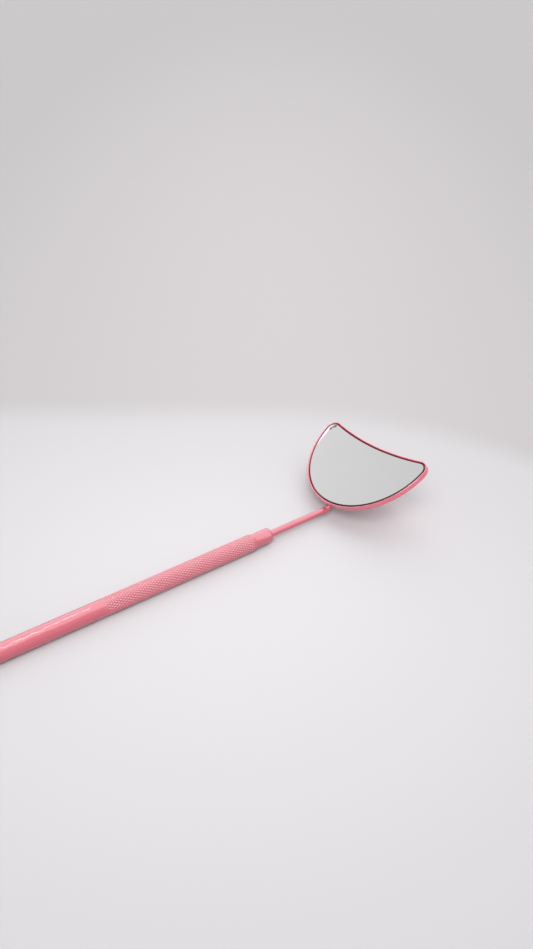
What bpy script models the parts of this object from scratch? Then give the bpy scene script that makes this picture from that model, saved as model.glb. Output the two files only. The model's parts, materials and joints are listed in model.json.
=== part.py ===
"""Half-moon mouth mirror: a hollow handle, a screw-in bent stem and a pan that holds a glass mirror.

Metres, +Z up. The origin is the centre of the handle's rear end face. +X runs along the handle to the
head, and the mirror looks up and back along the handle. The handle lies level, so the surface that it
rests on is half of GRIP_DIAMETER below the origin.
"""

import math

import bmesh
import bpy

MM = 0.001

# Handle
HANDLE_LENGTH = 120.0 * MM
GRIP_DIAMETER = 6.0 * MM
BARREL_DIAMETER = 5.85 * MM
NOSE_DIAMETER = 5.1 * MM
BORE_DIAMETER = 4.2 * MM
NOSE_LENGTH = 6.85 * MM
NOSE_ROUNDING = 1.1 * MM
GRIP_LENGTH = 56.15 * MM
GRIP_FRONT_TAPER = 1.6 * MM
GRIP_REAR_STEP = 0.3 * MM
SHANK_LENGTH = 8.0 * MM
PLUG_LENGTH = 1.4 * MM
PLUG_ROUNDING = 0.7 * MM

# Screw joint: an M2.5 thread, its bore drawn at the thread's outer diameter
THREAD_BORE_DIAMETER = 2.54 * MM
STUD_DIAMETER = 2.2 * MM
STUD_LENGTH = 4.9 * MM
STUD_CHAMFER = 0.3 * MM
MOUTH_DIAMETER = 2.8 * MM
MOUTH_DEPTH = 1.3 * MM
STEM_ENTRY = 1.2 * MM

# Where the head stands: from the middle of the nose's front face, on the screw's axis
HEAD_ROLL = math.radians(-10.0)
MIRROR_TILT = math.radians(29.5)
RIM_REACH = 24.14 * MM
RIM_RISE = 3.6 * MM

# Half-moon outline of the pan's inner wall, seen square on
NEAR_RADIUS = 26.2 * MM
DEPTH_AT_MIDDLE = 26.2 * MM
HOLLOW_HALF_CHORD = 26.2 * MM
HOLLOW_SAGITTA = 3.0 * MM
HORN_RADIUS = 3.2 * MM

# Pan, pad and glass
CUP_HEIGHT = 2.1 * MM
CUP_WALL = 0.45 * MM
CUP_ROUNDING = 0.5 * MM
PAD_MARGIN = 1.6 * MM
PAD_THICKNESS = 0.1 * MM
GLASS_MARGIN = 0.55 * MM
GLASS_RECESS = 0.05 * MM
GLASS_CHAMFER = 0.2 * MM

# Stem
STEM_DIAMETER = 2.4 * MM
STEM_BEND_RADIUS = 4.0 * MM
STEM_FLAT = 0.4 * MM
STEM_UNDER_CUP = 9.0 * MM
STEM_TIP = 1.6 * MM

# Clearance between pieces that touch on the real object
FIT_GAP = 0.1 * MM
SHOULDER_GAP = 0.2 * MM

# Facets
TURN_STEPS = 48
SMALL_TURN_STEPS = 32
STEM_BEVEL_RESOLUTION = 8
ROUNDING_STEPS = 4
ARC_STEP = math.radians(4.0)
BEND_STEP = math.radians(5.0)
SHARP_ANGLE = math.radians(30.0)
WELD_DISTANCE = 1e-7

# Colour, roughness and metallic value of each material
ENAMEL = ("pink_enamel", (0.84, 0.26, 0.33), 0.3, 0.0)
STEEL = ("bare_steel", (0.56, 0.55, 0.53), 0.35, 1.0)
ADHESIVE = ("adhesive", (0.75, 0.74, 0.7), 0.7, 0.0)
SILVERED_GLASS = ("silvered_glass", (0.88, 0.89, 0.89), 0.03, 1.0)


def clear_scene():
    for thing in list(bpy.data.objects):
        bpy.data.objects.remove(thing)


def new_collection(name):
    made = bpy.data.collections.new(name)
    bpy.context.scene.collection.children.link(made)
    return made


def place(name, data, parent, collection):
    made = bpy.data.objects.new(name, data)
    made.parent = parent
    collection.objects.link(made)
    return made


def guide(name, parent, location, rotation, collection):
    """An empty that carries the pieces of one frame."""
    made = place(name, None, parent, collection)
    made.empty_display_size = 5.0 * MM
    made.location = location
    made.rotation_euler = rotation
    return made


def material(name, colour, roughness, metallic):
    made = bpy.data.materials.get(name)
    if made is None:
        made = bpy.data.materials.new(name)
        made.use_nodes = True
        shader = made.node_tree.nodes["Principled BSDF"]
        shader.inputs["Base Color"].default_value = (*colour, 1.0)
        shader.inputs["Roughness"].default_value = roughness
        shader.inputs["Metallic"].default_value = metallic
    return made


def settle(thing):
    """Turns a curve, or a mesh with modifiers, into the plain mesh that it shows."""
    bpy.context.view_layer.update()
    graph = bpy.context.evaluated_depsgraph_get()
    mesh = bpy.data.meshes.new_from_object(thing.evaluated_get(graph))
    shape = bmesh.new()
    shape.from_mesh(mesh)
    bmesh.ops.remove_doubles(shape, verts=shape.verts, dist=WELD_DISTANCE)
    shape.to_mesh(mesh)
    shape.free()
    name, parent, collection = thing.name, thing.parent, thing.users_collection[0]
    location, rotation = thing.location.copy(), thing.rotation_euler.copy()
    bpy.data.objects.remove(thing)
    made = place(name, mesh, parent, collection)
    made.location = location
    made.rotation_euler = rotation
    return made


def finish(thing, look):
    """The finished piece: modifiers applied, round faces smooth, and its material on it."""
    made = settle(thing)
    made.data.name = made.name
    made.data.shade_smooth()
    made.data.set_sharp_from_angle(angle=SHARP_ANGLE)
    made.data.materials.clear()
    made.data.materials.append(material(*look))
    return made


def turned(name, profile, steps, parent, collection):
    """A solid turned about X from (station, radius) points, which run back down its outer side.

    A profile that starts off the axis is closed, so it leaves a bore.
    """
    mesh = bpy.data.meshes.new(name)
    shape = bmesh.new()
    corners = [shape.verts.new((radius, 0.0, station)) for station, radius in profile]
    for first, second in zip(corners, corners[1:]):
        shape.edges.new((first, second))
    if profile[0][1] > 0.0:
        shape.edges.new((corners[-1], corners[0]))
    shape.to_mesh(mesh)
    shape.free()
    made = place(name, mesh, parent, collection)
    made.rotation_euler = (0.0, math.pi / 2, 0.0)
    screw = made.modifiers.new("turn", "SCREW")
    screw.axis = "Z"
    screw.steps = steps
    screw.render_steps = steps
    screw.use_merge_vertices = True
    screw.merge_threshold = WELD_DISTANCE
    return made


def corner(station, radius, size, start):
    """A rounded corner of a turned profile, of that size, about the centre at (station, radius).

    It starts at that angle from the outward direction, with the front at +90 degrees, and turns a
    quarter towards the rear.
    """
    angles = [start - math.pi / 2 * step / ROUNDING_STEPS for step in range(ROUNDING_STEPS + 1)]
    return [(station + size * math.sin(angle), radius + size * math.cos(angle)) for angle in angles]


def arc(centre, radius, start, end):
    """Points along an arc about a centre on or above the outline's axis, both ends included."""
    count = max(2, math.ceil(abs(end - start) / ARC_STEP))
    angles = [start + (end - start) * step / count for step in range(count + 1)]
    return [(centre[0] + radius * math.cos(a), centre[1] + radius * math.sin(a)) for a in angles]


def half_moon(growth):
    """The half-moon outline, grown outwards by a distance, from its near edge at X = 0.

    A near arc runs round to a small horn arc on each side, and the far side is one hollow arc. The
    horn's centre is where its circle touches the near circle from inside and the hollow one from
    outside.
    """
    hollow_radius = (HOLLOW_HALF_CHORD**2 + HOLLOW_SAGITTA**2) / (2 * HOLLOW_SAGITTA)
    hollow_centre = DEPTH_AT_MIDDLE + hollow_radius
    between = hollow_centre - NEAR_RADIUS
    to_near = NEAR_RADIUS - HORN_RADIUS
    to_hollow = hollow_radius + HORN_RADIUS
    along = (to_near**2 - to_hollow**2 + between**2) / (2 * between)
    across = math.sqrt(to_near**2 - along**2)
    horn = (NEAR_RADIUS + along, across)
    near_end = math.atan2(across, along)
    hollow_start = math.atan2(across, horn[0] - hollow_centre)
    half = arc((NEAR_RADIUS, 0.0), NEAR_RADIUS + growth, math.pi, near_end)
    half += arc(horn, HORN_RADIUS + growth, near_end, hollow_start - math.pi)[1:]
    half += arc((hollow_centre, 0.0), hollow_radius - growth, hollow_start, math.pi)[1:]
    mirrored = [(x, -y) for x, y in reversed(half[1:-1])]
    return half + mirrored


def plate(name, outline, low, high, parent, collection):
    """A flat plate of that outline between two heights, as a mesh."""
    curve = bpy.data.curves.new(name, "CURVE")
    curve.dimensions = "2D"
    curve.fill_mode = "BOTH"
    curve.extrude = (high - low) / 2
    spline = curve.splines.new("POLY")
    spline.points.add(len(outline) - 1)
    for point, (x, y) in zip(spline.points, outline):
        point.co = (x, y, 0.0, 1.0)
    spline.use_cyclic_u = True
    made = place(name, curve, parent, collection)
    made.location.z = (low + high) / 2
    return settle(made)


def block(name, low, high, parent, collection):
    """A box between two corners."""
    mesh = bpy.data.meshes.new(name)
    shape = bmesh.new()
    bmesh.ops.create_cube(shape, size=1.0)
    bmesh.ops.scale(shape, vec=[b - a for a, b in zip(low, high)], verts=shape.verts)
    shape.to_mesh(mesh)
    shape.free()
    made = place(name, mesh, parent, collection)
    made.location = [(a + b) / 2 for a, b in zip(low, high)]
    return made


def bevel_face_edge(thing, width, segments, top):
    """Bevels the edge round the plate's top face, or round its bottom face."""
    shape = bmesh.new()
    shape.from_mesh(thing.data)
    weight = shape.edges.layers.float.new("bevel_weight_edge")
    heights = [vertex.co.z for vertex in shape.verts]
    level = max(heights) if top else min(heights)
    for edge in shape.edges:
        on_level = all(abs(vertex.co.z - level) < WELD_DISTANCE for vertex in edge.verts)
        borders_wall = any(abs(face.normal.z) < 0.5 for face in edge.link_faces)
        edge[weight] = 1.0 if on_level and borders_wall else 0.0
    shape.to_mesh(thing.data)
    shape.free()
    bevel = thing.modifiers.new("edge", "BEVEL")
    bevel.limit_method = "WEIGHT"
    bevel.width = width
    bevel.segments = segments


def cut(thing, cutter):
    """Cuts the cutter's shape out of the piece."""
    cutter.hide_render = True
    cutter.display_type = "WIRE"
    boolean = thing.modifiers.new("cut", "BOOLEAN")
    boolean.operation = "DIFFERENCE"
    boolean.object = cutter


def handle_tube(parent, collection):
    """The tube: plain barrel at the rear, grip in front, with a short taper down to the nose."""
    front = HANDLE_LENGTH - NOSE_LENGTH
    rear = PLUG_LENGTH + SHOULDER_GAP
    grip_rear = front - GRIP_LENGTH
    profile = [
        (front, NOSE_DIAMETER / 2),
        (front - GRIP_FRONT_TAPER, GRIP_DIAMETER / 2),
        (grip_rear + GRIP_REAR_STEP, GRIP_DIAMETER / 2),
        (grip_rear, BARREL_DIAMETER / 2),
        (rear, BARREL_DIAMETER / 2),
        (rear, BORE_DIAMETER / 2),
        (front, BORE_DIAMETER / 2),
    ]
    return finish(turned("handle_tube", profile, TURN_STEPS, parent, collection), ENAMEL)


def nose_socket(parent, collection):
    """The turned nose: a shank in the tube's bore, a rounded front and a threaded bore with a mouth."""
    front = HANDLE_LENGTH
    shoulder = front - NOSE_LENGTH + SHOULDER_GAP
    shank_end = shoulder - SHANK_LENGTH
    shank_radius = BORE_DIAMETER / 2 - FIT_GAP
    mouth_end = front - MOUTH_DEPTH
    profile = [(front, MOUTH_DIAMETER / 2)]
    profile += corner(front - NOSE_ROUNDING, NOSE_DIAMETER / 2 - NOSE_ROUNDING, NOSE_ROUNDING, math.pi / 2)
    profile += [
        (shoulder, NOSE_DIAMETER / 2),
        (shoulder, shank_radius),
        (shank_end, shank_radius),
        (shank_end, THREAD_BORE_DIAMETER / 2),
        (mouth_end, THREAD_BORE_DIAMETER / 2),
        (mouth_end, MOUTH_DIAMETER / 2),
    ]
    return finish(turned("nose_socket", profile, TURN_STEPS, parent, collection), ENAMEL)


def end_plug(parent, collection):
    """The rear plug: a rounded flat button with a shank in the tube's bore."""
    shank_radius = BORE_DIAMETER / 2 - FIT_GAP
    rim_radius = BARREL_DIAMETER / 2 - PLUG_ROUNDING
    profile = [
        (SHANK_LENGTH, 0.0),
        (SHANK_LENGTH, shank_radius),
        (PLUG_LENGTH, shank_radius),
        (PLUG_LENGTH, BARREL_DIAMETER / 2),
    ]
    profile += corner(PLUG_ROUNDING, rim_radius, PLUG_ROUNDING, 0.0)
    profile += [(0.0, 0.0)]
    return finish(turned("end_plug", profile, TURN_STEPS, parent, collection), ENAMEL)


def threaded_stud(parent, collection):
    """The stem's thread, drawn plain between its crest and its root, chamfered at both ends."""
    front = -STEM_ENTRY - FIT_GAP
    rear = front - STUD_LENGTH
    radius = STUD_DIAMETER / 2
    profile = [
        (front, 0.0),
        (front, radius - STUD_CHAMFER),
        (front - STUD_CHAMFER, radius),
        (rear + STUD_CHAMFER, radius),
        (rear, radius - STUD_CHAMFER),
        (rear, 0.0),
    ]
    return finish(turned("threaded_stud", profile, SMALL_TURN_STEPS, parent, collection), STEEL)


def stem_route():
    """(X, Z, thickness) along the stem's middle, from the nose's mouth to its rounded tip."""
    drop = CUP_HEIGHT + FIT_GAP + STEM_DIAMETER / 2 - STEM_FLAT
    level = (drop * math.cos(MIRROR_TILT) - RIM_RISE) / math.sin(MIRROR_TILT)
    elbow = RIM_REACH + level * math.cos(MIRROR_TILT) + drop * math.sin(MIRROR_TILT)
    bend_start = elbow - STEM_BEND_RADIUS * math.tan(MIRROR_TILT / 2)
    count = math.ceil(MIRROR_TILT / BEND_STEP)
    turns = [MIRROR_TILT * step / count for step in range(count + 1)]
    route = [(-STEM_ENTRY, 0.0, 1.0)]
    for turn in turns:
        x = bend_start + STEM_BEND_RADIUS * math.sin(turn)
        z = STEM_BEND_RADIUS * (1 - math.cos(turn))
        route.append((x, z, 1.0))
    straight = STEM_UNDER_CUP - level - STEM_BEND_RADIUS * math.tan(MIRROR_TILT / 2)
    bend_end = route[-1]
    for step in range(ROUNDING_STEPS + 1):
        share = step / (ROUNDING_STEPS + 0.5)
        run = straight - STEM_TIP * (1 - share)
        x = bend_end[0] + run * math.cos(MIRROR_TILT)
        z = bend_end[1] + run * math.sin(MIRROR_TILT)
        route.append((x, z, math.sqrt(1 - share**2)))
    return route


def stem(head_frame, mirror_frame, collection, cutters):
    """The bent wire, with a flat along its top where it lies under the pan."""
    curve = bpy.data.curves.new("stem", "CURVE")
    curve.dimensions = "3D"
    curve.bevel_depth = STEM_DIAMETER / 2
    curve.bevel_resolution = STEM_BEVEL_RESOLUTION
    curve.use_fill_caps = True
    route = stem_route()
    spline = curve.splines.new("POLY")
    spline.points.add(len(route) - 1)
    for point, (x, z, thickness) in zip(spline.points, route):
        point.co = (x, 0.0, z, 1.0)
        point.radius = thickness
    wire = settle(place("stem", curve, head_frame, collection))
    low = (-CUP_WALL - FIT_GAP, -STEM_DIAMETER, -CUP_HEIGHT - FIT_GAP)
    high = (2 * STEM_UNDER_CUP, STEM_DIAMETER, STEM_DIAMETER)
    cut(wire, block("stem_flat_cutter", low, high, mirror_frame, cutters))
    return finish(wire, ENAMEL)


def mirror_cup(mirror_frame, collection, cutters):
    """The pressed pan: a flat back with rounded edges and a thin upright wall."""
    cup = plate("mirror_cup", half_moon(CUP_WALL), -CUP_HEIGHT, 0.0, mirror_frame, collection)
    bevel_face_edge(cup, CUP_ROUNDING, ROUNDING_STEPS, top=False)
    floor = CUP_WALL - CUP_HEIGHT
    pocket = plate("cup_pocket_cutter", half_moon(0.0), floor, CUP_HEIGHT, mirror_frame, cutters)
    cut(cup, pocket)
    return finish(cup, ENAMEL)


def bond_pad(mirror_frame, collection):
    """The adhesive sheet between the pan's floor and the glass."""
    low = CUP_WALL - CUP_HEIGHT + FIT_GAP
    pad = plate("bond_pad", half_moon(-PAD_MARGIN), low, low + PAD_THICKNESS, mirror_frame, collection)
    return finish(pad, ADHESIVE)


def mirror_glass(mirror_frame, collection):
    """The glass, silvered, with a narrow chamfer ground round its face."""
    low = CUP_WALL - CUP_HEIGHT + PAD_THICKNESS + 2 * FIT_GAP
    glass = plate("mirror_glass", half_moon(-GLASS_MARGIN), low, -GLASS_RECESS, mirror_frame, collection)
    bevel_face_edge(glass, GLASS_CHAMFER, 1, top=True)
    return finish(glass, SILVERED_GLASS)


def build():
    clear_scene()
    parts = new_collection("half_moon_mouth_mirror")
    cutters = new_collection("cutters")
    handle = guide("handle_frame", None, (0.0, 0.0, 0.0), (0.0, 0.0, 0.0), parts)
    seat = (HANDLE_LENGTH, 0.0, 0.0)
    screw_frame = guide("screw_frame", None, seat, (0.0, 0.0, 0.0), parts)
    head_frame = guide("head_frame", screw_frame, (0.0, 0.0, 0.0), (HEAD_ROLL, 0.0, 0.0), parts)
    rim = (RIM_REACH, 0.0, RIM_RISE)
    mirror_frame = guide("mirror_frame", head_frame, rim, (0.0, -MIRROR_TILT, 0.0), parts)
    handle_tube(handle, parts)
    nose_socket(handle, parts)
    end_plug(handle, parts)
    threaded_stud(screw_frame, parts)
    stem(head_frame, mirror_frame, parts, cutters)
    mirror_cup(mirror_frame, parts, cutters)
    bond_pad(mirror_frame, parts)
    mirror_glass(mirror_frame, parts)


build()
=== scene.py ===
"""The looks of the half-moon mouth mirror: enamel, knurl, bevelled glass, thread and braze.

Metres, in the row frame: the handle lies along +X with its rear end face at the origin, and the head
stands in front of it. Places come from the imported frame. The main sizes of the pan, glass, stem and handle
repeat the CAD's, and those of surface detail are named with them.
"""

import json
import math

import bmesh
import bpy
from mathutils import Matrix, Vector


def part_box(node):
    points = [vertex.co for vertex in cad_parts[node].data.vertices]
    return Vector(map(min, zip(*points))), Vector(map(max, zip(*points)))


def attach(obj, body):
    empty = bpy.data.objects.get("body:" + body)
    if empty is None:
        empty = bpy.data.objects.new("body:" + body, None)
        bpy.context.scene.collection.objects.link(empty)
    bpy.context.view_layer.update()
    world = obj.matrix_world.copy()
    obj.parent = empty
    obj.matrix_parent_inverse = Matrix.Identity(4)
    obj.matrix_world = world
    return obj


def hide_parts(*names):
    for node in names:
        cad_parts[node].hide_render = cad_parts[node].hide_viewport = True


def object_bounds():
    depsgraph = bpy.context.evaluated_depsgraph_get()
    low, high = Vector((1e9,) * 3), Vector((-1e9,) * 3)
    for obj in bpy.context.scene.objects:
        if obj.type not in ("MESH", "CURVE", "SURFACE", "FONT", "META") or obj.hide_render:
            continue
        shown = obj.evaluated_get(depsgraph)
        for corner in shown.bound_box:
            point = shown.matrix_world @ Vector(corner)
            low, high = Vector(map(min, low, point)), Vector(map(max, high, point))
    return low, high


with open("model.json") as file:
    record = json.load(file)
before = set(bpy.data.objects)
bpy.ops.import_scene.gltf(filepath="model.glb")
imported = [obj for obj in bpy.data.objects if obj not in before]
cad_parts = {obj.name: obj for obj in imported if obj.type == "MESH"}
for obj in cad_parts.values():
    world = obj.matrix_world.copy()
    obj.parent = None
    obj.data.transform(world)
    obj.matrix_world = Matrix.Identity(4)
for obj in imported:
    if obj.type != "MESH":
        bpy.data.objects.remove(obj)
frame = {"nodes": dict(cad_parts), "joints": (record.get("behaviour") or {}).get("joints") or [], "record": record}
CAD_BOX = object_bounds()

MM = 0.001

# Camera, from the middle of the nose's front face
CAMERA_TURN = math.radians(-34.88)
CAMERA_PITCH = math.radians(35.45)
CAMERA_BACK = 265.46 * MM
CAMERA_ASIDE = -1.28 * MM
CAMERA_UP = 213.92 * MM
CAMERA_LENS = 37.94
SENSOR_WIDTH = 36.0
CLIP_NEAR = 5.0 * MM
CLIP_FAR = 50.0

# Room light by direction. A pair is the range over which the light changes, of a direction's part up
# (RISE), away from the camera (AWAY) or to its right (RIGHT); the band's is its part along the handle.
# The strip lamp lies in the plane that LAMP_PLANE is square to
ROOM_COLOUR = (1.0, 0.99, 0.995)
BAND_LIGHT = 2.0
BAND_START = -0.08
BAND_END = 0.85
BAND_EDGE = 0.12
SIDE_LIGHT = 0.8
SIDE_LIGHT_HIGH = 0.64
SIDE_RISE = (0.45, 0.7)
HORIZON_LIGHT = 0.75
HORIZON_RISE = (0.1, 0.3)
FRONT_LIGHT = 1.0
FRONT_LIGHT_LOW = 0.3
FRONT_AWAY = (-0.38, -0.3)
FRONT_RISE = (0.45, 0.6)
FRONT_RIGHT = (0.15, 0.35)
KEY_LIGHT = 10.0
KEY_TURN = math.radians(190.0)
KEY_RISE = math.radians(50.0)
KEY_RADIUS = math.radians(15.0)
KEY_SOFTNESS = math.radians(4.0)
LAMP_LIGHT = 5.5
LAMP_WIDTH = 0.016
LAMP_CORE = 0.6
LAMP_RISE = (0.86, 0.96)
LAMP_PLANE = (0.905, 0.381, -0.194)

# Floor, from the point under the nose's front face: where its painted pool of light is brightest, and where it
# folds and greys into painted shade, in metres to the right (ACROSS) and forward (AWAY) of the camera's heading
FLOOR_HALF = 6.0
FLOOR_ROUGHNESS = 0.8
FLOOR_SPECULAR = 0.2
FLOOR_PAINTED_LIGHT = (0.485, 0.477, 0.489)
FLOOR_PAINTED_LIGHT_EDGE = (0.384, 0.38, 0.393)
FLOOR_PAINTED_SHADE = (0.388, 0.373, 0.377)
FLOOR_PAINTED_DEEP_SHADE = (0.32, 0.313, 0.315)
GLOW_ACROSS = -0.0163
GLOW_AWAY = -0.0205
GLOW_REACH = 0.2
FOLD_AT = 0.0835
FOLD_WIDTH = 0.012
FOLD_SWEEP = 3.6
FAR_AWAY = 0.1345
FAR_REACH = 0.25
FAR_STRETCH = 0.3

# Outline of the pan's inner wall, as in the CAD
NEAR_RADIUS = 26.2 * MM
DEPTH_AT_MIDDLE = 26.2 * MM
HOLLOW_HALF_CHORD = 26.2 * MM
HOLLOW_SAGITTA = 3.0 * MM
HORN_RADIUS = 3.2 * MM

# Clearance between pieces, as in the CAD
FIT_GAP = 0.1 * MM

# Pan and glass, heights below the pan's lip
CUP_HEIGHT = 2.1 * MM
CUP_WALL = 0.45 * MM
CUP_ROUNDING = 0.5 * MM
CUP_INNER_ROUNDING = 0.3 * MM
LIP_ROUNDING = 0.2 * MM
GLASS_MARGIN = 0.55 * MM
GLASS_RECESS = 0.05 * MM
GLASS_BOTTOM = 1.35 * MM
ARRIS = 0.1 * MM

# The least that a side face of the glass looks up, as a part of its normal, to be its front bevel
BEVEL_NORMAL = 0.1

# Worn stretch of the arris, by its turn about the near edge's centre; WEAR_LEAN moves its widest place.
# Its up-facing faces carry a painted white highlight
WEAR_START = math.radians(87.0)
WEAR_END = math.radians(113.0)
WEAR_WIDTH = 1.0 * MM
WEAR_LEAN = 1.3
WEAR_NEAR_EDGE = 0.9 * NEAR_RADIUS

# Dark blots on the silvered face beside the left horn, in the mirror's plane: middle and radius
BLOTS = (
    ((25.3 * MM, 24.3 * MM), 0.6 * MM),
    ((26.2 * MM, 23.8 * MM), 0.45 * MM),
    ((27.0 * MM, 23.2 * MM), 0.65 * MM),
)
BLOT_EDGE = 0.25 * MM

# Stem, measured as in the CAD
STEM_RADIUS = 1.2 * MM
STEM_BEND_RADIUS = 4.0 * MM
STEM_FLAT = 0.4 * MM
STEM_UNDER_CUP = 9.0 * MM
STEM_ENTRY = 1.2 * MM
STEM_CHAMFER = 0.1 * MM
STEM_TIP = 1.6 * MM
STEM_FLAT_MARGIN = 0.1 * MM
BEND_STEPS = 24
TIP_STEPS = 12

# Braze between the stem and the pan: (spread beside the stem, drop under the pan) down its section
BRAZE_START = 1.75 * MM
BRAZE_SECTION = (
    (0.34 * MM, 0.0),
    (0.18 * MM, 0.06 * MM),
    (0.07 * MM, 0.18 * MM),
    (0.02 * MM, 0.36 * MM),
    (-0.02 * MM, 0.6 * MM),
)
BRAZE_STEPS = 24

# Handle
BORE_RADIUS = 2.1 * MM
SHANK_RADIUS = 2.0 * MM
TAPPED_RADIUS = 1.27 * MM
NOSE_ROUNDING = 1.1 * MM
MOUTH_RADIUS = 1.4 * MM
MOUTH_CHAMFER = 0.15 * MM
MOUTH_DEPTH = 1.3 * MM
TAPER = 1.6 * MM
GRIP_LENGTH = 56.15 * MM
BARREL_STEP = 0.075 * MM
BARREL_EDGE = 0.1 * MM
BARREL_STATIONS = 40

# Knurl: teeth round the grip, and the diamonds' length along it. Heights run from 0 in a groove to 1; FILL
# and CREST cut them off. Below the split height the enamel deepens in colour, for paint pooling in the grooves
# and painted shade there; above it the enamel pales, for thin paint and a painted highlight on the crests
KNURL_TEETH = 20
KNURL_PITCH = 1.605 * MM
KNURL_DEPTH = 0.27 * MM
KNURL_FILL = 0.12
KNURL_CREST = 0.94
KNURL_SPLIT_HEIGHT = 0.46
KNURL_FADE = 0.5 * MM
KNURL_SAMPLES = 10

# Thread on the stud
THREAD_PITCH = 0.45 * MM
THREAD_CREST = 1.22 * MM
THREAD_ROOT = 0.98 * MM
THREAD_SLOPE = 2.4
THREAD_SAMPLES = 10

# Enamel. Noise scales are in cells to the metre, and NOISE_SPREAD is what most of a noise's values span
NOISE_SPREAD = (0.3, 0.7)
PINK = (0.42, 0.02, 0.058)
# The pan's pink: the handle's enamel painted paler, as painted light for the pan's brighter lit wall and the pink
# light it bounces under the head
PAN_PINK_PAINTED_PALER = (0.62, 0.08, 0.14)
# Knurl colours: paler on crests, for thin paint and a painted highlight, and deeper in grooves, for paint pooling
# there and painted shade
PALE_PINK_THIN_AND_HIGHLIT = (0.78, 0.39, 0.46)
DEEP_PINK_POOLED_AND_SHADED = (0.3, 0.003, 0.02)
POOL_AND_SHADE_STRENGTH = 1.2
PATCH_SCALE = 90.0
PATCH_STRENGTH = 0.16
PEEL_SCALE = 160.0
PEEL_HEIGHT = 0.15 * MM
HANDLE_RIPPLE = 1.5
HEAD_RIPPLE = 0.3
ENAMEL_GRAIN_SCALE = 2600.0
ENAMEL_ROUGHNESS = (0.28, 0.4)
ENAMEL_SPECULAR = 0.75
COAT_IOR = 1.95
COAT_ROUGHNESS = 0.05

# Other finishes
STEEL_ROUGHNESS = (0.22, 0.4)
ADHESIVE_ROUGHNESS = 0.6
GLASS_EDGE_ROUGHNESS = 0.35
PAINTED_HIGHLIGHT_ROUGHNESS = 0.3

# Silvered face
SILVER = (0.89, 0.895, 0.9)
HAZED_SILVER = (0.86, 0.865, 0.87)
DARK_BLOT_SILVER = (0.25, 0.25, 0.26)
HAZE_SCALE = 60.0
HAZE_SPREAD = (0.3, 0.8)
HAZE_ROUGHNESS = (0.01, 0.03)
BLOT_GRAIN_SCALE = 1600.0

# Fineness of the meshes, and the angles past which an edge stays sharp
ROUND_STEPS = 96
THIN_ROUND_STEPS = 48
ARC_STEP = math.radians(1.5)
CORNER_STEPS = 6
SHARP_ANGLE = math.radians(38.0)
GLASS_SHARP_ANGLE = math.radians(3.5)


def mount(name):
    """The record's mount of that name."""
    return next(entry for entry in frame["record"]["mounts"] if entry["name"] == name)


# Places from the frame. HEAD_FRAME is at the nose's front face, rolled with the head. MIRROR_FRAME is at
# the nearest point of the pan's inner wall, level with its lip, and its X and Y lie in the mirror's plane
FLOOR = CAD_BOX[0].z
HEAD_ORIGIN = Vector(next(joint for joint in frame["joints"] if joint["type"] == "hinge")["pos_m"])
MIRROR_NORMAL = Vector(mount("mirror_face")["axis"])
MIRROR_TILT = -math.asin(MIRROR_NORMAL.x)
HEAD_ROLL = -math.atan2(MIRROR_NORMAL.y, MIRROR_NORMAL.z)
HEAD_FRAME = Matrix.Translation(HEAD_ORIGIN) @ Matrix.Rotation(HEAD_ROLL, 4, "X")
TILT = Matrix.Rotation(-MIRROR_TILT, 4, "Y")
FACE_CENTRE = HEAD_FRAME.inverted() @ Vector(mount("mirror_face")["pos_m"])
RIM = FACE_CENTRE - TILT @ Vector((NEAR_RADIUS / 2, 0.0, -GLASS_RECESS))
MIRROR_FRAME = HEAD_FRAME @ Matrix.Translation(RIM) @ TILT


# ---------------------------------------------------------------- meshes


def smoothstep(low, high, value):
    """0 at low, 1 at high and beyond, with a soft ramp between; low may be the larger of the two."""
    share = min(1.0, max(0.0, (value - low) / (high - low)))
    return share * share * (3.0 - 2.0 * share)


def body_of_rings(name, rings, closed=False, cavity=None, sharp=SHARP_ANGLE):
    """A closed body through rings of points: capped at both ends, or joined end to start.

    cavity holds one number for each point, and is kept as an attribute that materials can read.
    Recalculated normals can leave a ring-shaped body inside out, so its volume is tested too.
    """
    mesh = bpy.data.meshes.new(name)
    shape = bmesh.new()
    depth = shape.verts.layers.float.new("cavity")
    rows = []
    for number, ring in enumerate(rings):
        row = [shape.verts.new(point) for point in ring]
        if cavity:
            for vertex, value in zip(row, cavity[number]):
                vertex[depth] = value
        rows.append(row)
    pairs = list(zip(rows, rows[1:]))
    if closed:
        pairs.append((rows[-1], rows[0]))
    for first, second in pairs:
        for a, b, c, d in zip(first, first[1:] + first[:1], second[1:] + second[:1], second):
            shape.faces.new((a, b, c, d))
    if not closed:
        shape.faces.new(list(reversed(rows[0])))
        shape.faces.new(rows[-1])
    bmesh.ops.recalc_face_normals(shape, faces=shape.faces)
    if shape.calc_volume(signed=True) < 0.0:
        bmesh.ops.reverse_faces(shape, faces=shape.faces)
    shape.to_mesh(mesh)
    shape.free()
    mesh.shade_smooth()
    mesh.set_sharp_from_angle(angle=sharp)
    made = bpy.data.objects.new(name, mesh)
    bpy.context.scene.collection.objects.link(made)
    return made


def circle(station, radius, steps=ROUND_STEPS):
    """A ring of points about X, facing along it."""
    angles = [2 * math.pi * step / steps for step in range(steps)]
    return [Vector((station, radius * math.cos(a), radius * math.sin(a))) for a in angles]


def quarter(station, radius, size, start, turn):
    """(station, radius) points of a rounded corner about a centre, from an angle and through a turn."""
    angles = [start + turn * step / CORNER_STEPS for step in range(CORNER_STEPS + 1)]
    return [(station + size * math.sin(a), radius + size * math.cos(a)) for a in angles]


def arc(centre, radius, start, end):
    """(x, y) points along an arc, no more than ARC_STEP apart."""
    count = max(2, math.ceil(abs(end - start) / ARC_STEP))
    angles = [start + (end - start) * step / count for step in range(count + 1)]
    return [(centre[0] + radius * math.cos(a), centre[1] + radius * math.sin(a)) for a in angles]


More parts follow.
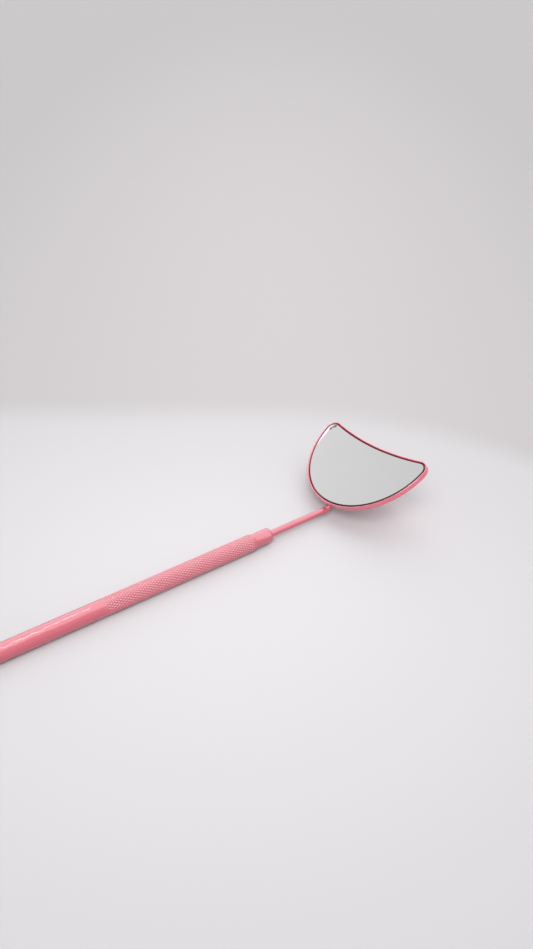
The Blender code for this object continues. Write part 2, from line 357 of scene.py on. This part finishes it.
def half_moon(growth, height):
    """The half-moon outline, grown outwards by a distance, at a height over the pan's lip."""
    hollow_radius = (HOLLOW_HALF_CHORD**2 + HOLLOW_SAGITTA**2) / (2 * HOLLOW_SAGITTA)
    hollow_centre = DEPTH_AT_MIDDLE + hollow_radius
    between = hollow_centre - NEAR_RADIUS
    to_near = NEAR_RADIUS - HORN_RADIUS
    to_hollow = hollow_radius + HORN_RADIUS
    along = (to_near**2 - to_hollow**2 + between**2) / (2 * between)
    across = math.sqrt(to_near**2 - along**2)
    horn = (NEAR_RADIUS + along, across)
    near_end = math.atan2(across, along)
    hollow_start = math.atan2(across, horn[0] - hollow_centre)
    half = arc((NEAR_RADIUS, 0.0), NEAR_RADIUS + growth, math.pi, near_end)
    half += arc(horn, HORN_RADIUS + growth, near_end, hollow_start - math.pi)[1:]
    half += arc((hollow_centre, 0.0), hollow_radius - growth, hollow_start, math.pi)[1:]
    half += [(x, -y) for x, y in reversed(half[1:-1])]
    return [Vector((x, y, height)) for x, y in half]


def corner(growth, height, size, start, turn):
    """(growth, height) points of a rounded corner in the pan's wall section."""
    angles = [start + turn * step / CORNER_STEPS for step in range(CORNER_STEPS + 1)]
    return [(growth + size * math.cos(a), height + size * math.sin(a)) for a in angles]


# ---------------------------------------------------------------- shader nodes


def new_material(name):
    """A new material, its node tree and its Principled BSDF."""
    made = bpy.data.materials.new(name)
    made.use_nodes = True
    return made, made.node_tree, made.node_tree.nodes["Principled BSDF"]


def noise(tree, coordinates, scale, detail):
    """Noise in the object's own coordinates."""
    made = tree.nodes.new("ShaderNodeTexNoise")
    made.inputs["Scale"].default_value = scale
    made.inputs["Detail"].default_value = detail
    tree.links.new(coordinates.outputs["Object"], made.inputs["Vector"])
    return made.outputs["Fac"]


def ramp(tree, source, low, high, start, end):
    """Maps a source from one range to another."""
    made = tree.nodes.new("ShaderNodeMapRange")
    made.inputs["From Min"].default_value = low
    made.inputs["From Max"].default_value = high
    made.inputs["To Min"].default_value = start
    made.inputs["To Max"].default_value = end
    tree.links.new(source, made.inputs["Value"])
    return made.outputs["Result"]


def soft_step(tree, source, low, high, start=0.0, end=1.0):
    """Maps a source from one range to another with soft ends."""
    result = ramp(tree, source, low, high, start, end)
    result.node.interpolation_type = "SMOOTHSTEP"
    return result


def maths(tree, operation, *values):
    """A math node on numbers and sockets."""
    made = tree.nodes.new("ShaderNodeMath")
    made.operation = operation
    for socket, value in zip(made.inputs, values):
        if isinstance(value, float):
            socket.default_value = value
        else:
            tree.links.new(value, socket)
    return made.outputs["Value"]


def dot(tree, vector, direction):
    """The dot product of a socket with a fixed direction."""
    made = tree.nodes.new("ShaderNodeVectorMath")
    made.operation = "DOT_PRODUCT"
    tree.links.new(vector, made.inputs[0])
    made.inputs[1].default_value = direction
    return made.outputs["Value"]


def blend_values(tree, factor, first, second):
    """first where the factor is 0, second where it is 1."""
    change = maths(tree, "SUBTRACT", second, first)
    return maths(tree, "MULTIPLY_ADD", factor, change, first)


def blend_colours(tree, factor, first, second):
    """first where the factor is 0, second where it is 1: each a colour or a socket."""
    made = tree.nodes.new("ShaderNodeMix")
    made.data_type = "RGBA"
    tree.links.new(factor, made.inputs["Factor"])
    for socket, colour in ((made.inputs["A"], first), (made.inputs["B"], second)):
        if isinstance(colour, tuple):
            socket.default_value = (*colour, 1.0)
        else:
            tree.links.new(colour, socket)
    return made.outputs["Result"]


def distance(tree, x, y, middle_x, middle_y, stretch=1.0):
    """Distance in a plane from a point, with the second direction stretched."""
    off_x = maths(tree, "SUBTRACT", x, middle_x)
    off_y = maths(tree, "MULTIPLY", maths(tree, "SUBTRACT", y, middle_y), stretch)
    square_x = maths(tree, "MULTIPLY", off_x, off_x)
    square_y = maths(tree, "MULTIPLY", off_y, off_y)
    return maths(tree, "SQRT", maths(tree, "ADD", square_x, square_y))


# ---------------------------------------------------------------- materials


def enamel(name, paint, ripple):
    """Gloss enamel with a faint orange peel in its skin: on the knurl deeper in the grooves, for paint pooling
    there and painted shade, and pale on the crests, for thin paint and a painted highlight; with random deeper
    patches.
    """
    made, tree, shader = new_material(name)
    coordinates = tree.nodes.new("ShaderNodeTexCoord")
    cavity = tree.nodes.new("ShaderNodeAttribute")
    cavity.attribute_name = "cavity"
    depth = cavity.outputs["Fac"]
    patches = ramp(tree, noise(tree, coordinates, PATCH_SCALE, 3.0), *NOISE_SPREAD, 0.0, PATCH_STRENGTH)
    # Deeper where paint pools in the grooves and in random patches, with painted shade in the grooves; paler on
    # crests, for thin paint and a painted highlight
    pooled_and_shaded = maths(tree, "MAXIMUM", maths(tree, "MULTIPLY", depth, POOL_AND_SHADE_STRENGTH), patches)
    thin = maths(tree, "MULTIPLY", maths(tree, "MINIMUM", depth, 0.0), -1.0)
    colour = blend_colours(tree, pooled_and_shaded, paint, DEEP_PINK_POOLED_AND_SHADED)
    tree.links.new(blend_colours(tree, thin, colour, PALE_PINK_THIN_AND_HIGHLIT), shader.inputs["Base Color"])
    bump = tree.nodes.new("ShaderNodeBump")
    bump.inputs["Strength"].default_value = 1.0
    bump.inputs["Distance"].default_value = ripple * PEEL_HEIGHT
    tree.links.new(noise(tree, coordinates, PEEL_SCALE, 2.0), bump.inputs["Height"])
    tree.links.new(bump.outputs["Normal"], shader.inputs["Normal"])
    tree.links.new(bump.outputs["Normal"], shader.inputs["Coat Normal"])
    grain = noise(tree, coordinates, ENAMEL_GRAIN_SCALE, 2.0)
    tree.links.new(ramp(tree, grain, *NOISE_SPREAD, *ENAMEL_ROUGHNESS), shader.inputs["Roughness"])
    shader.inputs["Specular IOR Level"].default_value = ENAMEL_SPECULAR
    shader.inputs["Coat Weight"].default_value = 1.0
    shader.inputs["Coat IOR"].default_value = COAT_IOR
    shader.inputs["Coat Roughness"].default_value = COAT_ROUGHNESS
    return made


def grained(name, scale, detail, first, second):
    """A material whose colour wanders between two with a noise; with its tree, noise and shader."""
    made, tree, shader = new_material(name)
    grain = noise(tree, tree.nodes.new("ShaderNodeTexCoord"), scale, detail)
    tree.links.new(blend_colours(tree, grain, first, second), shader.inputs["Base Color"])
    return made, tree, grain, shader


def steel_material():
    """Bright steel with a fine grain."""
    made, tree, grain, shader = grained(
        "turned_steel", scale=3000.0, detail=3.0, first=(0.62, 0.61, 0.6), second=(0.42, 0.41, 0.4)
    )
    tree.links.new(ramp(tree, grain, *NOISE_SPREAD, *STEEL_ROUGHNESS), shader.inputs["Roughness"])
    shader.inputs["Metallic"].default_value = 1.0
    return made


def adhesive_material():
    """Milky adhesive with small bubbles."""
    made, _, _, shader = grained(
        "milky_adhesive", scale=1500.0, detail=2.0, first=(0.78, 0.77, 0.73), second=(0.6, 0.59, 0.55)
    )
    shader.inputs["Roughness"].default_value = ADHESIVE_ROUGHNESS
    return made


def glass_edge_material():
    """The glass's ground edge, dark: partly its dark backing paint, partly painted shade of the narrow groove
    round the glass.
    """
    made, _, _, shader = grained(
        "ground_glass_edge_backing_and_shade", scale=2500.0, detail=2.0, first=(0.03, 0.045, 0.045), second=(0.07, 0.09, 0.085)
    )
    shader.inputs["Roughness"].default_value = GLASS_EDGE_ROUGHNESS
    return made


def painted_highlight_material():
    """A painted highlight: near-white rough glass for the glint of light on the worn arris beside the left horn.
    """
    made, _, _, shader = grained(
        "glass_painted_highlight", scale=1800.0, detail=3.0, first=(0.97, 0.98, 0.98), second=(0.85, 0.87, 0.87)
    )
    shader.inputs["Roughness"].default_value = PAINTED_HIGHLIGHT_ROUGHNESS
    return made


def silver_material():
    """The silvered face: a mirror with a faint haze, and dark blots beside the left horn."""
    made, tree, shader = new_material("silvered_face")
    coordinates = tree.nodes.new("ShaderNodeTexCoord")
    haze = noise(tree, coordinates, HAZE_SCALE, 4.0)
    silver = blend_colours(tree, haze, SILVER, HAZED_SILVER)
    place = tree.nodes.new("ShaderNodeSeparateXYZ")
    tree.links.new(coordinates.outputs["Object"], place.inputs["Vector"])
    ragged = ramp(tree, noise(tree, coordinates, BLOT_GRAIN_SCALE, 2.0), *NOISE_SPREAD, 0.0, BLOT_EDGE)
    for middle, radius in BLOTS:
        away = distance(tree, place.outputs["X"], place.outputs["Y"], *middle)
        clear = soft_step(tree, maths(tree, "ADD", away, ragged), radius, radius + BLOT_EDGE)
        silver = blend_colours(tree, clear, DARK_BLOT_SILVER, silver)
    tree.links.new(silver, shader.inputs["Base Color"])
    tree.links.new(ramp(tree, haze, *HAZE_SPREAD, *HAZE_ROUGHNESS), shader.inputs["Roughness"])
    shader.inputs["Metallic"].default_value = 1.0
    return made


def floor_material():
    """Pale matt paper: a painted pool of light about the object, and painted shade past a soft fold behind it."""
    made, tree, shader = new_material("pale_floor_painted_light")
    coordinates = tree.nodes.new("ShaderNodeTexCoord")
    place = tree.nodes.new("ShaderNodeSeparateXYZ")
    tree.links.new(coordinates.outputs["Object"], place.inputs["Vector"])
    across, away = place.outputs["X"], place.outputs["Y"]
    # A painted pool of light about the object, fading outwards
    from_glow = distance(tree, across, away, GLOW_ACROSS, GLOW_AWAY)
    near = blend_colours(tree, soft_step(tree, from_glow, 0.0, GLOW_REACH), FLOOR_PAINTED_LIGHT, FLOOR_PAINTED_LIGHT_EDGE)
    # Painted shade past the fold, deeper farther out
    from_far = distance(tree, across, away, 0.0, FAR_AWAY, FAR_STRETCH)
    far = blend_colours(tree, soft_step(tree, from_far, 0.0, FAR_REACH), FLOOR_PAINTED_SHADE, FLOOR_PAINTED_DEEP_SHADE)
    right = maths(tree, "MAXIMUM", across, 0.0)
    sweep = maths(tree, "MULTIPLY", maths(tree, "MULTIPLY", right, right), FOLD_SWEEP)
    to_fold = maths(tree, "ADD", away, sweep)
    past_fold = soft_step(tree, to_fold, FOLD_AT - FOLD_WIDTH, FOLD_AT + FOLD_WIDTH)
    tree.links.new(blend_colours(tree, past_fold, near, far), shader.inputs["Base Color"])
    shader.inputs["Roughness"].default_value = FLOOR_ROUGHNESS
    shader.inputs["Specular IOR Level"].default_value = FLOOR_SPECULAR
    return made


# ---------------------------------------------------------------- pieces


def groove(phase):
    """The height beside one family of V grooves: 0 in a groove, 1 midway between two."""
    share = phase / (2 * math.pi) % 1.0
    return 1.0 - abs(2.0 * share - 1.0)


def knurl_height(along, angle):
    """The height of the knurl, at a distance from the grip's rear end and an angle round it."""
    turn = KNURL_TEETH * angle
    lean = 2 * math.pi * along / KNURL_PITCH
    height = min(groove(turn + lean), groove(turn - lean))
    return min(KNURL_CREST, max(KNURL_FILL, height))


def knurled_tube(look):
    """The handle tube: knurl rolled into the grip, then turned down to the nose, and its plain bore."""
    low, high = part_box("handle_tube")
    grip, barrel = high.z, high.z - BARREL_STEP
    front, rear, grip_rear = high.x, low.x, high.x - GRIP_LENGTH
    nose_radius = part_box("nose_socket")[1].z
    steps = KNURL_TEETH * KNURL_SAMPLES
    count = round((front - grip_rear) / KNURL_PITCH * KNURL_SAMPLES)
    barrel_length = grip_rear - rear - BARREL_EDGE
    stations = [rear, rear + BARREL_EDGE]
    stations += [rear + BARREL_EDGE + barrel_length * i / BARREL_STATIONS for i in range(1, BARREL_STATIONS)]
    stations += [grip_rear + (front - grip_rear) * i / count for i in range(count + 1)]
    rings, cavity = [], []
    for station in stations:
        envelope = barrel
        if station > grip_rear:
            envelope = min(grip, grip - (station - (front - TAPER)) * (grip - nose_radius) / TAPER)
        fade = smoothstep(grip_rear - KNURL_FADE, grip_rear + KNURL_FADE, station)
        ring, depths = [], []
        for step in range(steps):
            angle = 2 * math.pi * step / steps
            height = knurl_height(station - grip_rear, angle)
            knurl = grip - KNURL_DEPTH * (KNURL_CREST - height)
            radius = min(envelope, barrel + (knurl - barrel) * fade)
            ring.append(Vector((station, radius * math.cos(angle), radius * math.sin(angle))))
            # Positive in grooves, for paint pooling there and painted shade; negative on crests, for thin paint
            # and a painted highlight
            depths.append(fade * (1 - height / KNURL_SPLIT_HEIGHT) if radius < envelope else 0.0)
        rings.append(ring)
        cavity.append(depths)
    for station in (front, rear):
        rings.append(circle(station, BORE_RADIUS, steps))
        cavity.append([0.0] * steps)
    made = body_of_rings("knurled_handle", rings, closed=True, cavity=cavity)
    made.data.materials.append(look)
    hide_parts("handle_tube")
    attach(made, "handle")


def nose(look):
    """The smooth nose, with a rounded front edge and a countersunk mouth, up against the tube."""
    low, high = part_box("nose_socket")
    tube_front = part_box("handle_tube")[1].x
    front, radius = high.x, high.z
    mouth_end = front - MOUTH_DEPTH
    rounding = NOSE_ROUNDING
    profile = [(front, MOUTH_RADIUS + MOUTH_CHAMFER)]
    profile += quarter(front - rounding, radius - rounding, rounding, math.pi / 2, -math.pi / 2)
    profile += [(tube_front, radius), (tube_front, SHANK_RADIUS), (low.x, SHANK_RADIUS)]
    profile += [(low.x, TAPPED_RADIUS), (mouth_end, TAPPED_RADIUS), (mouth_end, MOUTH_RADIUS)]
    profile += [(front - MOUTH_CHAMFER, MOUTH_RADIUS)]
    made = body_of_rings("smooth_nose", [circle(*point) for point in profile], closed=True)
    made.data.materials.append(look)
    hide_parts("nose_socket")
    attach(made, "handle")


def stem_route():
    """Stations along the stem in the head's frame: x, z, how far it has turned, and its radius."""
    drop = CUP_HEIGHT + FIT_GAP + STEM_RADIUS - STEM_FLAT
    level = (drop * math.cos(MIRROR_TILT) - RIM.z) / math.sin(MIRROR_TILT)
    elbow = RIM.x + level * math.cos(MIRROR_TILT) + drop * math.sin(MIRROR_TILT)
    tangent = STEM_BEND_RADIUS * math.tan(MIRROR_TILT / 2)
    route = [(-STEM_ENTRY, 0.0, 0.0, STEM_RADIUS - STEM_CHAMFER)]
    route.append((-STEM_ENTRY + STEM_CHAMFER, 0.0, 0.0, STEM_RADIUS))
    for step in range(BEND_STEPS + 1):
        turn = MIRROR_TILT * step / BEND_STEPS
        x = elbow - tangent + STEM_BEND_RADIUS * math.sin(turn)
        z = STEM_BEND_RADIUS * (1 - math.cos(turn))
        route.append((x, z, turn, STEM_RADIUS))
    bend_x, bend_z = x, z
    straight = STEM_UNDER_CUP - level - tangent
    for step in range(TIP_STEPS + 1):
        # Half a step short of a quarter turn, so that the last ring keeps a radius
        share = math.sin(math.pi / 2 * step / (TIP_STEPS + 0.5))
        run = straight - STEM_TIP * (1 - share)
        x = bend_x + run * math.cos(MIRROR_TILT)
        z = bend_z + run * math.sin(MIRROR_TILT)
        route.append((x, z, MIRROR_TILT, STEM_RADIUS * math.sqrt(1 - share**2)))
    return route


def stem(look):
    """The bent wire, its top pressed flat where it lies under the pan."""
    rings = []
    to_mirror = MIRROR_FRAME.inverted() @ HEAD_FRAME
    to_head = to_mirror.inverted()
    for x, z, turn, radius in stem_route():
        ring = []
        for step in range(THIN_ROUND_STEPS):
            angle = 2 * math.pi * step / THIN_ROUND_STEPS
            across, up = radius * math.cos(angle), radius * math.sin(angle)
            point = Vector((x - up * math.sin(turn), across, z + up * math.cos(turn)))
            local = to_mirror @ point
            if local.x > STEM_FLAT_MARGIN - CUP_WALL and local.z > -CUP_HEIGHT:
                local.z = -CUP_HEIGHT
                point = to_head @ local
            ring.append(point)
        rings.append(ring)
    made = body_of_rings("bent_stem", rings)
    made.data.materials.append(look)
    made.matrix_world = HEAD_FRAME
    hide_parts("stem")
    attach(made, "head")


def cup(look):
    """The pressed pan: rounded lip, upright wall, rounded back edge and flat back."""
    floor_corner = CUP_WALL + CUP_INNER_ROUNDING - CUP_HEIGHT
    section = corner(-CUP_INNER_ROUNDING, floor_corner, CUP_INNER_ROUNDING, -math.pi / 2, math.pi / 2)
    section += corner(LIP_ROUNDING, -LIP_ROUNDING, LIP_ROUNDING, math.pi, -math.pi / 2)
    section += corner(CUP_WALL - LIP_ROUNDING, -LIP_ROUNDING, LIP_ROUNDING, math.pi / 2, -math.pi / 2)
    section += corner(CUP_WALL - CUP_ROUNDING, CUP_ROUNDING - CUP_HEIGHT, CUP_ROUNDING, 0.0, -math.pi / 2)
    made = body_of_rings("pressed_pan", [half_moon(growth, height) for growth, height in section])
    made.data.materials.append(look)
    made.matrix_world = MIRROR_FRAME
    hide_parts("mirror_cup")
    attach(made, "head")


def braze(look):
    """The braze under the paint: a fillet round the stem where it lies under the pan."""
    start, end = BRAZE_START, STEM_UNDER_CUP - STEM_TIP
    half_turn = [math.pi * step / BRAZE_STEPS for step in range(BRAZE_STEPS + 1)]
    rings = []
    for spread, drop in BRAZE_SECTION:
        radius = STEM_RADIUS + spread
        tip = [(end + radius * math.sin(a), -radius * math.cos(a)) for a in half_turn]
        near = [(start - radius * math.sin(a), radius * math.cos(a)) for a in half_turn]
        rings.append([Vector((x, y, -CUP_HEIGHT - drop)) for x, y in tip + near])
    made = body_of_rings("brazed_fillet", rings)
    made.data.materials.append(look)
    made.matrix_world = MIRROR_FRAME
    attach(made, "head")


def edge_wear_and_highlight(point):
    """How far the arris is worn back beside the left horn, as a share of the widest, 0 elsewhere; also marks the
    painted highlight.
    """
    turn = math.atan2(point.y, point.x - NEAR_RADIUS)
    if math.hypot(point.x - NEAR_RADIUS, point.y) < WEAR_NEAR_EDGE or not WEAR_START < turn < WEAR_END:
        return 0.0
    return math.sin(math.pi * ((WEAR_END - turn) / (WEAR_END - WEAR_START)) ** WEAR_LEAN)


def glass(face_look, edge_look, highlight_look):
    """The glass: a ground edge and arris, worn back and with a painted highlight in one stretch beside the left
    horn, and a flat face.
    """
    top, outer = -GLASS_RECESS, -GLASS_MARGIN
    section = [(outer - ARRIS, -GLASS_BOTTOM), (outer, ARRIS - GLASS_BOTTOM), (outer, top - ARRIS)]
    rings = [half_moon(growth, height) for growth, height in section]
    inner = half_moon(outer - ARRIS, top)
    worn = half_moon(outer - ARRIS - WEAR_WIDTH, top)
    rings.append([near.lerp(far, edge_wear_and_highlight(near)) for near, far in zip(inner, worn)])
    made = body_of_rings("bevelled_glass", rings, sharp=GLASS_SHARP_ANGLE)
    for look in (face_look, edge_look, highlight_look):
        made.data.materials.append(look)
    for face in made.data.polygons:
        cap = len(face.vertices) > 4
        if cap and face.normal.z > 0.0:
            face.material_index = 0
        # The worn stretch's up-facing arris faces get the painted highlight
        elif not cap and face.normal.z > BEVEL_NORMAL and edge_wear_and_highlight(face.center) > 0.0:
            face.material_index = 2
        else:
            face.material_index = 1
    made.matrix_world = MIRROR_FRAME
    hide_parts("mirror_glass")
    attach(made, "head")


def stud(look):
    """The stem's thread: one helical ridge, run out at both ends."""
    low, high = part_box("threaded_stud")
    count = math.ceil((high.x - low.x) / THREAD_PITCH * THREAD_SAMPLES)
    rings = []
    for number in range(count + 1):
        station = low.x + (high.x - low.x) * number / count
        run_in = smoothstep(low.x, low.x + THREAD_PITCH, station)
        run_out = smoothstep(high.x, high.x - THREAD_PITCH, station)
        ring = []
        for step in range(THIN_ROUND_STEPS):
            angle = 2 * math.pi * step / THIN_ROUND_STEPS
            share = (station / THREAD_PITCH - angle / (2 * math.pi)) % 1.0
            ridge = min(1.0, max(0.0, 1.0 - abs(share - 0.5) * THREAD_SLOPE))
            radius = THREAD_ROOT + (THREAD_CREST - THREAD_ROOT) * ridge * min(run_in, run_out)
            ring.append(Vector((station, radius * math.cos(angle), radius * math.sin(angle))))
        rings.append(ring)
    made = body_of_rings("stud_thread", rings)
    made.data.materials.append(look)
    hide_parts("threaded_stud")
    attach(made, "thread")


def dress(node, look):
    """Gives a node that stays as the CAD has it a better material."""
    materials = frame["nodes"][node].data.materials
    materials.clear()
    materials.append(look)


# ---------------------------------------------------------------- studio


def direction(turn, rise):
    """A direction by its turn from the camera's heading, towards its right, and its rise."""
    return Vector((math.sin(turn) * math.cos(rise), math.cos(turn) * math.cos(rise), math.sin(rise)))


def room_light():
    """A bright band overhead, a dim side behind the camera, a round key light and a thin strip lamp."""
    world = bpy.data.worlds.new("room")
    bpy.context.scene.world = world
    world.use_nodes = True
    tree = world.node_tree
    coordinates = tree.nodes.new("ShaderNodeTexCoord")
    level = tree.nodes.new("ShaderNodeMapping")
    level.inputs["Rotation"].default_value = (0.0, 0.0, -CAMERA_TURN)
    tree.links.new(coordinates.outputs["Generated"], level.inputs["Vector"])
    ray = level.outputs["Vector"]
    right = dot(tree, ray, (1.0, 0.0, 0.0))
    away = dot(tree, ray, (0.0, 1.0, 0.0))
    up = dot(tree, ray, (0.0, 0.0, 1.0))
    along = dot(tree, ray, (math.cos(CAMERA_TURN), -math.sin(CAMERA_TURN), 0.0))

    side = soft_step(tree, up, *SIDE_RISE, SIDE_LIGHT, SIDE_LIGHT_HIGH)
    rises = soft_step(tree, along, BAND_START, BAND_START + BAND_EDGE)
    falls = soft_step(tree, along, BAND_END - BAND_EDGE, BAND_END, 1.0, 0.0)
    sky = blend_values(tree, maths(tree, "MULTIPLY", rises, falls), side, BAND_LIGHT)
    sky = blend_values(tree, soft_step(tree, up, *HORIZON_RISE), HORIZON_LIGHT, sky)

    off_lamp = maths(tree, "ABSOLUTE", dot(tree, ray, LAMP_PLANE))
    strip = soft_step(tree, off_lamp, LAMP_WIDTH * LAMP_CORE, LAMP_WIDTH, LAMP_LIGHT, 0.0)
    strip = maths(tree, "MULTIPLY", strip, soft_step(tree, up, *LAMP_RISE))
    sky = maths(tree, "ADD", sky, strip)

    low = soft_step(tree, up, *FRONT_RISE, 1.0, 0.0)
    left = soft_step(tree, right, *FRONT_RIGHT, 1.0, 0.0)
    front = blend_values(tree, maths(tree, "MULTIPLY", low, left), FRONT_LIGHT, FRONT_LIGHT_LOW)
    light = blend_values(tree, soft_step(tree, away, *FRONT_AWAY, 1.0, 0.0), sky, front)

    near_key = dot(tree, ray, direction(KEY_TURN, KEY_RISE))
    key_edge = (math.cos(KEY_RADIUS + KEY_SOFTNESS), math.cos(KEY_RADIUS - KEY_SOFTNESS))
    light = blend_values(tree, soft_step(tree, near_key, *key_edge), light, KEY_LIGHT)
    background = tree.nodes["Background"]
    tree.links.new(light, background.inputs["Strength"])
    background.inputs["Color"].default_value = (*ROOM_COLOUR, 1.0)


def make_camera():
    """The camera, placed from the middle of the nose's front face."""
    turn = Matrix.Rotation(CAMERA_TURN, 4, "Z")
    back = turn @ Vector((0.0, -1.0, 0.0))
    right = turn @ Vector((1.0, 0.0, 0.0))
    camera = bpy.data.objects.new("camera", bpy.data.cameras.new("camera"))
    camera.data.lens = CAMERA_LENS
    camera.data.sensor_width = SENSOR_WIDTH
    camera.data.clip_start = CLIP_NEAR
    camera.data.clip_end = CLIP_FAR
    camera.location = HEAD_ORIGIN + back * CAMERA_BACK + right * CAMERA_ASIDE
    camera.location.z = HEAD_ORIGIN.z + CAMERA_UP
    camera.rotation_euler = (math.pi / 2 - CAMERA_PITCH, 0.0, CAMERA_TURN)
    bpy.context.scene.collection.objects.link(camera)
    bpy.context.scene.camera = camera


def lay_floor():
    """The floor the handle lies on, turned to the camera's heading."""
    mesh = bpy.data.meshes.new("floor")
    shape = bmesh.new()
    bmesh.ops.create_grid(shape, x_segments=1, y_segments=1, size=FLOOR_HALF)
    shape.to_mesh(mesh)
    shape.free()
    floor = bpy.data.objects.new("floor", mesh)
    floor.location = (HEAD_ORIGIN.x, HEAD_ORIGIN.y, FLOOR)
    floor.rotation_euler.z = CAMERA_TURN
    floor.data.materials.append(floor_material())
    bpy.context.scene.collection.objects.link(floor)


# ---------------------------------------------------------------- the scene


handle_enamel = enamel("handle_enamel", PINK, HANDLE_RIPPLE)
stem_enamel = enamel("stem_enamel", PINK, HEAD_RIPPLE)
# The pan's enamel is the handle's pink painted paler: painted light for its brighter lit wall and its pink bounce
pan_enamel = enamel("pan_enamel", PAN_PINK_PAINTED_PALER, HEAD_RIPPLE)

bpy.context.scene.view_settings.view_transform = "Standard"
make_camera()
lay_floor()
room_light()
knurled_tube(handle_enamel)
nose(handle_enamel)
stem(stem_enamel)
cup(pan_enamel)
braze(pan_enamel)
glass(silver_material(), glass_edge_material(), painted_highlight_material())
stud(steel_material())
dress("end_plug", handle_enamel)
dress("bond_pad", adhesive_material())
